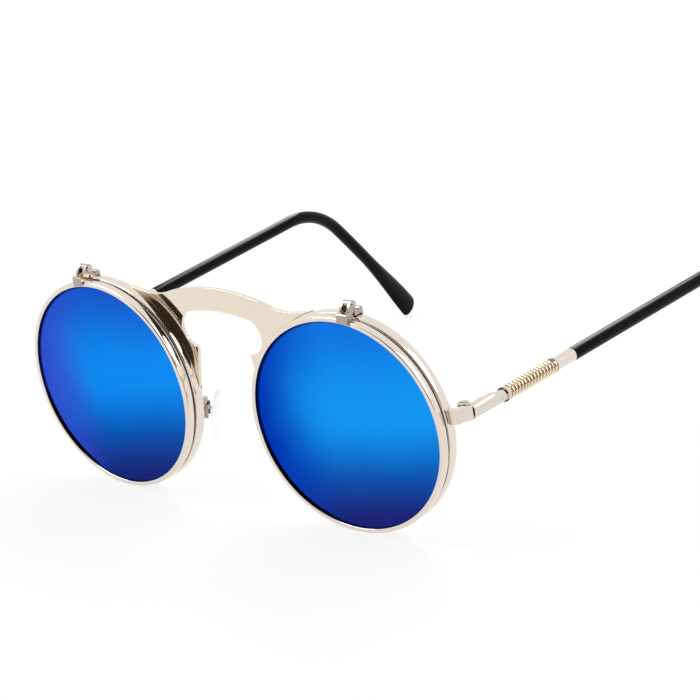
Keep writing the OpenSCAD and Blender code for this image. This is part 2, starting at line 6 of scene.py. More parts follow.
import logging
import math
from dataclasses import dataclass, field, replace
from enum import Enum
from typing import Callable, Iterable, Sequence

import bmesh
import bpy
from mathutils import Matrix, Vector


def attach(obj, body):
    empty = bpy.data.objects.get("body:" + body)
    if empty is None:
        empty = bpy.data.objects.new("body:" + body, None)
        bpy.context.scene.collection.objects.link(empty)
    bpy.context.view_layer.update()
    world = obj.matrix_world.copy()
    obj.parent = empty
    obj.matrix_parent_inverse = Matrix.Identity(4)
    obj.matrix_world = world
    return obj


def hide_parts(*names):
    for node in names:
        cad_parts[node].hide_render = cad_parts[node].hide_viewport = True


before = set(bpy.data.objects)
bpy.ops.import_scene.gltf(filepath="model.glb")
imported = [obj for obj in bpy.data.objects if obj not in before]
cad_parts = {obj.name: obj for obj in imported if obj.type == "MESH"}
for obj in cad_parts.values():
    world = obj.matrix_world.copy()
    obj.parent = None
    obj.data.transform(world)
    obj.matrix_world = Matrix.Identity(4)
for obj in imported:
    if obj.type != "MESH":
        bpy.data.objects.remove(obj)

LOG = logging.getLogger("glasses")

# Metres in a millimetre
MM = 0.001
# Points closer than this are joined: in a piece's own millimetres, and in a CAD node's metres
MERGE = 1e-5
CAD_MERGE = 1e-6
# Angles in degrees: up to the first, faces count as flat; from the second, edges are rounded
FLAT_ANGLE = 0.6
BEVEL_ANGLE = 34.0
BEVEL_STEPS = 3
# Sockets of the Mix node when it mixes colours
MIX_COLOURS = (6, 7)
MIX_RESULT = 2
WHITE = (1.0, 1.0, 1.0)

Colour = tuple[float, float, float]
Point = tuple[float, float, float]
Range = tuple[float, float]
Outline = Sequence[tuple[float, float]]


class Side(Enum):
    """The wearer's two sides: RIGHT is drawn towards +X, LEFT is its mirror."""

    RIGHT = 1
    LEFT = -1

    @property
    def label(self) -> str:
        """Word used in the names of nodes and bodies."""
        return self.name.lower()


class Shading(Enum):
    """How the faces of a piece are shaded."""

    SMOOTH = 180.0
    CREASED = 32.0


@dataclass(frozen=True)
class Placement:
    """Where the glasses stand, and the frames of their parts, in millimetres."""

    lens_spacing: float = 70.6
    wrap: float = 3.0
    temple_x: float = 61.45
    temple_z: float = 2.67
    splay: float = 2.17
    slope: float = 0.93
    pad_axis: Point = (12.5, 7.2, -5.7)
    pad_turn: float = 30.0
    pad_tilt: float = 12.0
    lean: float = 6.68504
    table_shift: Point = (0.0, -75.0747, 25.3266)

    def table(self, side: Side) -> Matrix:
        """Gives the matrix from the drawing to the table.

        Args:
            side: The side that is drawn; the left one is mirrored.

        Returns:
            A matrix from millimetres in the drawing to metres on the table.
        """
        return (
            Matrix.Scale(MM, 4)
            @ Matrix.Translation(Vector(self.table_shift))
            @ Matrix.Rotation(math.radians(self.lean), 4, "X")
            @ Matrix.Diagonal((side.value, 1.0, 1.0, 1.0))
        )

    def lens(self, side: Side) -> Matrix:
        """Gives the frame of one lens: Y runs through it, X outwards.

        Args:
            side: The side of the lens.

        Returns:
            A matrix from millimetres to metres on the table.
        """
        return (
            self.table(side)
            @ Matrix.Translation((self.lens_spacing / 2, 0, 0))
            @ Matrix.Rotation(math.radians(self.wrap), 4, "Z")
        )

    def temple(self, side: Side) -> Matrix:
        """Gives the frame of one temple: Y runs along it, X outwards.

        Args:
            side: The side of the temple.

        Returns:
            A matrix from millimetres to metres on the table.
        """
        return (
            self.table(side)
            @ Matrix.Translation((self.temple_x, 0, self.temple_z))
            @ Matrix.Rotation(math.radians(-self.splay), 4, "Z")
            @ Matrix.Rotation(math.radians(-self.slope), 4, "X")
        )

    def pad(self, side: Side) -> Matrix:
        """Gives the frame of one nose pad: its screw runs along Y.

        Args:
            side: The side of the pad.

        Returns:
            A matrix from millimetres to metres on the table.
        """
        return (
            self.table(side)
            @ Matrix.Translation(Vector(self.pad_axis))
            @ Matrix.Rotation(math.radians(-self.pad_tilt), 4, "Y")
            @ Matrix.Rotation(math.radians(-self.pad_turn), 4, "Z")
        )


class Canvas:
    """A node tree that is filled step by step."""

    def __init__(self, tree: bpy.types.NodeTree) -> None:
        """Starts from an empty tree.

        Args:
            tree: The tree to clear and fill.
        """
        self.tree = tree
        self.tree.nodes.clear()

    def node(self, kind: str, inputs: dict | None = None, **options: object) -> bpy.types.Node:
        """Adds a node.

        Args:
            kind: The node's type name.
            inputs: Values or sockets, by input name or number.
            options: Properties to set on the node.

        Returns:
            The new node.
        """
        made = self.tree.nodes.new(kind)
        for name, value in options.items():
            setattr(made, name, value)
        for key, value in (inputs or {}).items():
            self.feed(made, key, value)
        return made

    def feed(self, target: bpy.types.Node, key: str | int, value: object) -> None:
        """Sets an input of a node, or links a socket to it.

        Args:
            target: The node whose input is set.
            key: The input's name or number.
            value: A plain value, or the socket to link.
        """
        if isinstance(value, bpy.types.NodeSocket):
            self.tree.links.new(value, target.inputs[key])
        else:
            target.inputs[key].default_value = value

    def math(self, operation: str, *values: object, clamp: bool = False) -> bpy.types.NodeSocket:
        """Adds one step of arithmetic.

        Args:
            operation: The Math node's operation.
            values: Its inputs, in order.
            clamp: Whether the result stays between 0 and 1.

        Returns:
            The result's socket.
        """
        made = self.node("ShaderNodeMath", dict(enumerate(values)), operation=operation)
        made.use_clamp = clamp
        return made.outputs[0]

    def smooth_step(self, value: object, low: float, high: float) -> bpy.types.NodeSocket:
        """Eases from 0 to 1 while a value goes from low to high.

        Args:
            value: The value or socket to read.
            low: Where the result is still 0.
            high: Where the result reaches 1.

        Returns:
            The eased result's socket.
        """
        made = self.node(
            "ShaderNodeMapRange",
            {"Value": value, "From Min": low, "From Max": high},
            interpolation_type="SMOOTHSTEP",
        )
        return made.outputs["Result"]

    def blend(self, amount: object, first: object, second: object) -> bpy.types.NodeSocket:
        """Mixes two colours.

        Args:
            amount: Share of the second colour.
            first: Colour or socket at 0.
            second: Colour or socket at 1.

        Returns:
            The mixed colour's socket.
        """
        made = self.node("ShaderNodeMix", data_type="RGBA")
        self.feed(made, 0, amount)
        for key, value in zip(MIX_COLOURS, (first, second)):
            self.feed(made, key, opaque(value))
        return made.outputs[MIX_RESULT]

    def lerp(self, amount: object, first: float, second: float) -> bpy.types.NodeSocket:
        """Goes from one number to another.

        Args:
            amount: Share of the second number, from 0 to 1.
            first: The number at 0.
            second: The number at 1.

        Returns:
            The number's socket.
        """
        made = self.node("ShaderNodeMapRange", {"Value": amount, "To Min": first, "To Max": second})
        return made.outputs["Result"]

    def seen_directly(self) -> bpy.types.NodeSocket:
        """Gives 1 for what the camera sees, also through clear pieces, and 0 otherwise."""
        path = self.node("ShaderNodeLightPath").outputs
        return self.math("MAXIMUM", path["Is Camera Ray"], path["Is Transmission Ray"])

    def principled(self, inputs: dict[str, object]) -> bpy.types.NodeSocket:
        """Adds a Principled shader with these inputs and gives its socket."""
        return self.node("ShaderNodeBsdfPrincipled", inputs).outputs[0]


def opaque(value: object) -> object:
    """Gives a plain colour its fourth channel, and leaves a socket as it is."""
    if isinstance(value, tuple) and len(value) == 3:
        return (*value, 1.0)
    return value


@dataclass(frozen=True)
class Finish:
    """One finish; each kind fills in its own shader."""

    name: str
    slot: str

    def material(self) -> bpy.types.Material:
        """Gives the finish as a material, made once.

        Returns:
            The material.
        """
        found = bpy.data.materials.get(self.name)
        if found is not None:
            return found
        made = bpy.data.materials.new(self.name)
        made.use_nodes = True
        canvas = Canvas(made.node_tree)
        surface = self.surface(canvas)
        canvas.node("ShaderNodeOutputMaterial", {"Surface": surface})
        return made

    def surface(self, canvas: Canvas) -> bpy.types.NodeSocket:
        """Builds the shader.

        Args:
            canvas: The material's tree.

        Returns:
            The shader's socket.
        """
        raise NotImplementedError

    def noise(
        self, canvas: Canvas, size: float, stretch: Point = (1.0, 1.0, 1.0), detail: float = 3.0
    ) -> bpy.types.NodeSocket:
        """Adds a noise pattern that lies in the object.

        Args:
            canvas: The material's tree.
            size: Size of the pattern's spots, in millimetres.
            stretch: How many times finer the pattern is along each axis.
            detail: How many finer layers it has.

        Returns:
            The pattern's value, about 0 to 1.
        """
        place = canvas.node("ShaderNodeTexCoord")
        scale = [part / (size * MM) for part in stretch]
        mapped = canvas.node(
            "ShaderNodeMapping", {"Vector": place.outputs["Object"], "Scale": scale}
        )
        made = canvas.node(
            "ShaderNodeTexNoise", {"Vector": mapped.outputs[0], "Scale": 1.0, "Detail": detail}
        )
        return made.outputs[0]

    def bump(
        self, canvas: Canvas, height: bpy.types.NodeSocket, depth: float
    ) -> bpy.types.NodeSocket:
        """Turns a pattern into small relief.

        Args:
            canvas: The material's tree.
            height: The pattern.
            depth: Height of the relief, in millimetres.

        Returns:
            The bent normal's socket.
        """
        made = canvas.node(
            "ShaderNodeBump", {"Height": height, "Distance": depth * MM, "Strength": 1.0}
        )
        return made.outputs[0]


@dataclass(frozen=True)
class Plating(Finish):
    """Plated metal with faint clouding, fine polishing marks and dull spots."""

    colour: Colour = (0.80, 0.715, 0.63)
    shade: Colour = (0.72, 0.64, 0.54)
    gloss: Range = (0.06, 0.13)
    grain_size: float = 0.25
    grain_depth: float = 0.0003
    cloud_size: float = 7.0
    cloud_range: Range = (0.40, 0.85)
    spot_size: float = 1.4
    spot_range: Range = (0.52, 0.74)
    spot_tint: float = 0.35
    spot_dulling: float = 0.5
    shade_share: float = 0.5

    def surface(self, canvas: Canvas) -> bpy.types.NodeSocket:
        """Builds the metal.

        Args:
            canvas: The material's tree.

        Returns:
            The shader's socket.
        """
        cloud = canvas.smooth_step(
            self.noise(canvas, self.cloud_size, detail=4.0), *self.cloud_range
        )
        spots = canvas.smooth_step(
            self.noise(canvas, self.spot_size, detail=5.0), *self.spot_range
        )
        grain = self.noise(canvas, self.grain_size, detail=2.0)
        worn = canvas.math("MULTIPLY", spots, self.spot_tint)
        tone = canvas.math("ADD", cloud, worn, clamp=True)
        share = canvas.math("MULTIPLY", tone, self.shade_share)
        dull = canvas.math("ADD", canvas.math("MULTIPLY", spots, self.spot_dulling), grain)
        return canvas.principled(
            {
                "Base Color": canvas.blend(share, self.colour, self.shade),
                "Metallic": 1.0,
                "Roughness": canvas.lerp(dull, *self.gloss),
                "Normal": self.bump(canvas, grain, self.grain_depth),
            }
        )


@dataclass(frozen=True)
class MirrorLens(Finish):
    """Blue mirror coat, partly its own tint and partly painted reflection: azure in the middle,
    navy below, darker to the outer side, with a thin ring of painted shade at the edge.
    """

    centre: Point = (0.0, 0.0, 0.0)
    radius: float = 24.3
    slant: float = 0.135
    # Coat colours, partly the coat's own tint and partly painted reflection: the navy below and the
    # darker outer side stand in for darker reflections of the shaded floor.
    azure: Colour = (0.0062, 0.305, 0.880)
    blue: Colour = (0.0060, 0.165, 0.740)
    deep: Colour = (0.0045, 0.085, 0.440)
    navy: Colour = (0.0130, 0.018, 0.190)
    edge: Colour = (0.0010, 0.034, 0.460)
    # Painted shade: a thin dark ring round the lens edge, a little wider on one side, where the
    # rim's inner wall shades the lens.
    border: Colour = (0.0010, 0.0040, 0.060)
    blue_step: Range = (0.15, 1.05)
    deep_step: Range = (0.10, -0.62)
    navy_step: Range = (-0.40, -0.95)
    edge_step: Range = (-0.05, -1.02)
    painted_edge_shade_step: Range = (0.974, 1.006)
    painted_edge_shade_lean: float = -0.02
    cloud_size: float = 16.0
    cloud_lift: float = 0.16
    cloud_push: float = 0.3
    tint: Colour = (0.45, 0.65, 1.0)
    gloss: Range = (0.05, 0.11)
    fine_size: float = 0.5
    ripple_size: float = 9.0
    ripple: float = 0.002

    def surface(self, canvas: Canvas) -> bpy.types.NodeSocket:
        """Builds the coat over the dark lens.

        Args:
            canvas: The material's tree.

        Returns:
            The shader's socket.
        """
        place = canvas.node("ShaderNodeTexCoord")
        finer = 1 / (self.radius * MM)
        mapped = canvas.node(
            "ShaderNodeMapping",
            {
                "Vector": place.outputs["Object"],
                "Location": [-part / self.radius for part in self.centre],
                "Scale": (finer, finer, finer),
            },
        )
        parts = canvas.node("ShaderNodeSeparateXYZ", {"Vector": mapped.outputs[0]})
        across, height = parts.outputs["X"], parts.outputs["Z"]
        cloud = canvas.math("SUBTRACT", self.noise(canvas, self.cloud_size, detail=1.0), 0.5)
        level = canvas.math("MULTIPLY_ADD", across, -self.slant, height)
        level = canvas.math("MULTIPLY_ADD", cloud, self.cloud_lift, level)
        inner = canvas.math("MULTIPLY_ADD", cloud, self.cloud_push, across)
        reach = canvas.node("ShaderNodeVectorMath", {0: mapped.outputs[0]}, operation="LENGTH")
        outer = canvas.math("MULTIPLY_ADD", across, self.painted_edge_shade_lean, reach.outputs["Value"])
        # Painted reflection and shade: the colour steps darker downwards and to the outer side, and
        # the painted shade ring darkens the edge.
        colour = self.azure
        for value, step, added in (
            (level, self.blue_step, self.blue),
            (level, self.deep_step, self.deep),
            (level, self.navy_step, self.navy),
            (inner, self.edge_step, self.edge),
            (outer, self.painted_edge_shade_step, self.border),
        ):
            colour = canvas.blend(canvas.smooth_step(value, *step), colour, added)
        fine = self.noise(canvas, self.fine_size, detail=4.0)
        return canvas.principled(
            {
                "Base Color": colour,
                "Metallic": 1.0,
                "Specular Tint": opaque(self.tint),
                "Roughness": canvas.lerp(fine, *self.gloss),
                "Normal": self.bump(canvas, self.noise(canvas, self.ripple_size), self.ripple),
            }
        )


@dataclass(frozen=True)
class SmokePlastic(Finish):
    """Dark smoke plastic, as seen from behind a mirror lens and at its edge."""

    colour: Colour = (0.012, 0.011, 0.010)
    paler: Colour = (0.022, 0.020, 0.018)
    gloss: Range = (0.08, 0.18)
    shine: float = 0.4
    cloud_size: float = 6.0
    fine_size: float = 0.4
    ripple_size: float = 9.0
    ripple: float = 0.002

    def surface(self, canvas: Canvas) -> bpy.types.NodeSocket:
        """Builds the plastic.

        Args:
            canvas: The material's tree.

        Returns:
            The shader's socket.
        """
        cloud = self.noise(canvas, self.cloud_size)
        return canvas.principled(
            {
                "Base Color": canvas.blend(cloud, self.colour, self.paler),
                "Roughness": canvas.lerp(self.noise(canvas, self.fine_size), *self.gloss),
                "Specular IOR Level": self.shine,
                "Normal": self.bump(canvas, self.noise(canvas, self.ripple_size), self.ripple),
            }
        )


@dataclass(frozen=True)
class ClearPlastic(Finish):
    """Clear lens plastic or silicone with a faint haze."""

    tint: Colour = (0.97, 0.985, 0.99)
    haze_share: float = 0.96
    haze_size: float = 3.0
    gloss: Range = (0.02, 0.08)
    index: float = 1.45
    ripple_size: float = 1.5
    ripple: float = 0.0005

    def surface(self, canvas: Canvas) -> bpy.types.NodeSocket:
        """Builds the clear shader.

        Args:
            canvas: The material's tree.

        Returns:
            The shader's socket.
        """
        haze = self.noise(canvas, self.haze_size, detail=4.0)
        duller = tuple(part * self.haze_share for part in self.tint)
        return canvas.principled(
            {
                "Base Color": canvas.blend(haze, self.tint, duller),
                "Roughness": canvas.lerp(haze, *self.gloss),
                "IOR": self.index,
                "Transmission Weight": 1.0,
                "Normal": self.bump(canvas, self.noise(canvas, self.ripple_size), self.ripple),
            }
        )


@dataclass(frozen=True)
class SleevePlastic(Finish):
    """Glossy black moulded plastic with faint flow marks and handling wear."""

    colour: Colour = (0.0010, 0.0008, 0.0014)
    worn: Colour = (0.0032, 0.0030, 0.0042)
    gloss: Range = (0.08, 0.20)
    index: float = 1.165
    flow_size: float = 5.0
    flow_stretch: Point = (1.0, 0.35, 1.0)
    rub_size: float = 1.1
    rub_range: Range = (0.55, 0.80)
    rub_share: float = 0.6
    fine_size: float = 0.18
    fine_depth: float = 0.0010

    def surface(self, canvas: Canvas) -> bpy.types.NodeSocket:
        """Builds the plastic.

        Args:
            canvas: The material's tree.

        Returns:
            The shader's socket.
        """
        flow = self.noise(canvas, self.flow_size, self.flow_stretch, 4.0)
        rubbed = canvas.smooth_step(self.noise(canvas, self.rub_size, detail=5.0), *self.rub_range)
        fine = self.noise(canvas, self.fine_size, detail=2.0)
        wear = canvas.math("MULTIPLY", rubbed, self.rub_share)
        return canvas.principled(
            {
                "Base Color": canvas.blend(wear, self.colour, self.worn),
                "Roughness": canvas.lerp(canvas.math("ADD", flow, rubbed), *self.gloss),
                "IOR": self.index,
                "Normal": self.bump(canvas, fine, self.fine_depth),
            }
        )


@dataclass(frozen=True)
class FloorPaint(Finish):
    """Pale matt floor: near white to the camera and in reflections, with some shadow."""

    shadow_share: float = 0.16
    paint: Colour = (0.90, 0.90, 0.90)
    paler: Colour = (0.94, 0.94, 0.94)
    speckle_size: float = 2.0

    def surface(self, canvas: Canvas) -> bpy.types.NodeSocket:
        """Builds the floor.

        Args:
            canvas: The material's tree.

        Returns:
            The shader's socket.
        """
        colour = canvas.blend(self.noise(canvas, self.speckle_size), self.paint, self.paler)
        matt = canvas.node("ShaderNodeBsdfDiffuse", {"Color": colour})
        bright = canvas.node("ShaderNodeEmission", {"Color": opaque(WHITE), "Strength": 1.0})
        glossy = canvas.node("ShaderNodeLightPath").outputs["Is Glossy Ray"]
        seen = canvas.math("MAXIMUM", canvas.seen_directly(), glossy)
        share = canvas.math("MULTIPLY", seen, 1 - self.shadow_share)
        made = canvas.node(
            "ShaderNodeMixShader", {0: share, 1: matt.outputs[0], 2: bright.outputs[0]}
        )
        return made.outputs[0]


PLACE = Placement()
POLISHED = Plating("polished_champagne", "rim_metal")
PLATE = Plating(
    "satin_champagne",
    "satin_metal",
    colour=(0.80, 0.715, 0.595),
    shade=(0.77, 0.68, 0.56),
    gloss=(0.04, 0.09),
    grain_size=0.20,
    grain_depth=0.0002,
)
SCREW = Plating(
    "screw_steel",
    "screw_metal",
    colour=(0.60, 0.53, 0.44),
    shade=(0.36, 0.30, 0.24),
    gloss=(0.18, 0.32),
)
# Painted shade: a darker copy of the champagne plating on the end pieces and temple fronts,
# standing in for shade on them.
SOFT_PAINTED_SHADE_PLATING = Plating(
    "champagne_soft_painted_shade",
    "rim_metal",
    colour=(0.74, 0.66, 0.58),
    shade=(0.52, 0.44, 0.36),
)
# Painted shade: a much darker copy of the champagne plating on the flip hinges and pad arms,
# standing in for shade on them.
DEEP_PAINTED_SHADE_PLATING = Plating(
    "champagne_deep_painted_shade",
    "rim_metal",
    colour=(0.46, 0.40, 0.34),
    shade=(0.22, 0.18, 0.15),
    gloss=(0.10, 0.22),
)
SPRING = Plating(
    "spring_gold",
    "spring_metal",
    colour=(0.84, 0.73, 0.56),
    shade=(0.66, 0.53, 0.36),
    gloss=(0.12, 0.24),
)
CLEAR = ClearPlastic("clear_lens_plastic", "clear_lens", gloss=(0.0, 0.02), ripple=0.0001)
SILICONE = ClearPlastic(
    "clear_silicone",
    "pad_silicone",
    tint=(0.97, 0.975, 0.97),
    gloss=(0.06, 0.16),
    index=1.14,
    ripple=0.002,
)
SMOKE = SmokePlastic("smoke_back", "mirror_lens")
SLEEVE = SleevePlastic("black_sleeve", "sleeve_plastic")
FLOOR = FloorPaint("pale_floor", "")


class Shell:
    """The points and faces of one piece, in millimetres in its own frame."""

    def __init__(self) -> None:
        """Starts empty."""
        self.points: list[Vector] = []
        self.faces: list[tuple[int, ...]] = []

    def add_rings(
        self, rings: Sequence[Sequence[Vector]], looped: bool = False, capped: bool = True
    ) -> None:
        """Adds a skin through rings that all have the same number of points.

        Args:
            rings: The rings, each a closed loop of points.
            looped: Whether the last ring joins the first.
            capped: Whether the two end rings are closed by a face.
        """
        start = len(self.points)
        size = len(rings[0])
        count = len(rings)
        for ring in rings:
            self.points.extend(Vector(point) for point in ring)
        for i in range(count if looped else count - 1):
            near = start + i * size
            far = start + (i + 1) % count * size
            for k in range(size):
                after = (k + 1) % size
                self.faces.append((near + k, near + after, far + after, far + k))
        if capped and not looped:
            self.faces.append(tuple(range(start + size - 1, start - 1, -1)))
            self.faces.append(tuple(range(start + (count - 1) * size, start + count * size)))

    def add_turned(self, profile: Outline, steps: int, gap: Range | None = None) -> None:
        """Turns a closed profile round the Y axis.

        Args:
            profile: Points of the closed profile as radius and place along Y.
            steps: How many faces go all the way round.
            gap: Angles from +X towards +Z, in degrees, between which nothing is made.
        """
        first, last = (gap[1], gap[0] + 360) if gap else (0.0, 360.0)
        rings = []
        for i in range(steps + (1 if gap else 0)):
            angle = math.radians(first + (last - first) * i / steps)
            rings.append(
                [Vector((r * math.cos(angle), y, r * math.sin(angle))) for r, y in profile]
            )
        self.add_rings(rings, looped=gap is None)

    def add_block(self, low: Point, high: Point) -> None:
        """Adds a plain block between two corners.

        Args:
            low: The lowest corner.
            high: The highest corner.
        """
        loop = [(low[0], low[1]), (high[0], low[1]), (high[0], high[1]), (low[0], high[1])]
        rings = [[Vector((x, y, z)) for x, y in loop] for z in (low[2], high[2])]
        self.add_rings(rings)

    def finish(
        self,
        name: str,
        place: Matrix,
        material: bpy.types.Material,
        shading: Shading = Shading.CREASED,
    ) -> bpy.types.Object:
        """Makes the object.

        Args:
            name: The piece's name.
            place: Matrix from millimetres to metres on the table.
            material: The finish.
            shading: Up to which angle edges are shaded smooth.

        Returns:
            The new object, at the origin, with its place in its mesh.
        """
        mesh = bpy.data.meshes.new(name)
        mesh.from_pydata([tuple(point) for point in self.points], [], self.faces)
        settle(mesh, place, shading)
        mesh.materials.append(material)
        return add_object(name, mesh)


def add_object(name: str, data: bpy.types.ID) -> bpy.types.Object:
    """Puts a new object with this data into the scene."""
    made = bpy.data.objects.new(name, data)
    bpy.context.scene.collection.objects.link(made)
    return made


def settle(mesh: bpy.types.Mesh, place: Matrix, shading: Shading) -> None:
    """Joins a mesh's double points, puts it in its place and shades it.

    Args:
        mesh: The mesh, in millimetres in its own frame.
        place: Matrix from millimetres to metres on the table.
        shading: Up to which angle edges are shaded smooth.
    """
    made = bmesh.new()
    made.from_mesh(mesh)
    bmesh.ops.remove_doubles(made, verts=made.verts, dist=MERGE)
    bmesh.ops.transform(made, matrix=place, verts=made.verts)
    bmesh.ops.recalc_face_normals(made, faces=made.faces)
    crease(made, shading)
    made.to_mesh(mesh)
    made.free()


def crease(made: bmesh.types.BMesh, shading: Shading) -> None:
    """Shades a mesh smooth, apart from edges sharper than the limit.

    Args:
        made: The mesh.
        shading: Up to which angle edges are shaded smooth.
    """
    limit = math.radians(shading.value)
    for face in made.faces:
        face.smooth = True
    for edge in made.edges:
        edge.smooth = len(edge.link_faces) == 2 and edge.calc_face_angle(0.0) < limit


def merged_copy(node: str, finish: Finish, bevel: float) -> bpy.types.Object:
    """Makes a joined-up copy of a CAD node, with its edges rounded.

    Args:
        node: The CAD node's name.
        finish: The finish it gets.
        bevel: Width of the rounded edges, in millimetres; 0 for none.

    Returns:
        The new object.
    """
    mesh = bpy.data.meshes.new(f"{node}_dressed")
    made = bmesh.new()
    made.from_mesh(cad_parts[node].data)
    bmesh.ops.remove_doubles(made, verts=made.verts, dist=CAD_MERGE)
    bmesh.ops.dissolve_limit(
        made, angle_limit=math.radians(FLAT_ANGLE), verts=made.verts, edges=made.edges
    )
    crease(made, Shading.CREASED)
    made.to_mesh(mesh)
    made.free()
    mesh.materials.append(finish.material())
    piece = add_object(mesh.name, mesh)
    if bevel > 0:
        rounding = piece.modifiers.new("rounded_edges", "BEVEL")
        rounding.width = bevel * MM
        rounding.segments = BEVEL_STEPS
        rounding.limit_method = "ANGLE"
        rounding.angle_limit = math.radians(BEVEL_ANGLE)
        rounding.harden_normals = True
        rounding.use_clamp_overlap = True
    return piece


def hand_over(piece: bpy.types.Object, finish: Finish, body: str, *nodes: str) -> None:
    """Lets a piece ride on its body and stand for its CAD nodes.

    Args:
        piece: The piece.
        finish: Its finish; not used.
        body: The CAD body that it rides on.
        nodes: The CAD nodes that it replaces.
    """
    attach(piece, body)
    if nodes:
        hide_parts(*nodes)
    LOG.info("%s rides on %s, %d faces", piece.name, body, len(piece.data.polygons))


def dress(node: str, body: str, finish: Finish, bevel: float) -> None:
    """Replaces one CAD node by its copy with rounded edges.

    Args:
        node: The CAD node's name.
        body: The body it rides on.
        finish: Its finish.
        bevel: Width of the rounded edges, in millimetres; 0 for none.
    """
    hand_over(merged_copy(node, finish, bevel), finish, body, node)


def within(share: float) -> float:
    """Keeps a number between 0 and 1."""
    return max(0.0, min(1.0, share))


def rounded(corners: Outline, radii: Sequence[float], steps: int = 3) -> list[Range]:
    """Rounds the corners of a closed outline.

    Args:
        corners: The outline's corners.
        radii: How far each corner is cut back along both of its sides.
        steps: How many faces round each corner.

    Returns:
        The rounded outline.
    """
    result: list[Range] = []
    count = len(corners)
    for i, radius in enumerate(radii):
        corner = Vector(corners[i])
        if radius <= 0:
            result.append((corner.x, corner.y))
            continue
        before = corner + (Vector(corners[i - 1]) - corner).normalized() * radius
        after = corner + (Vector(corners[(i + 1) % count]) - corner).normalized() * radius
        for k in range(steps + 1):
            t = k / steps
            point = before * (1 - t) ** 2 + corner * 2 * t * (1 - t) + after * t**2
            result.append((point.x, point.y))
    return result


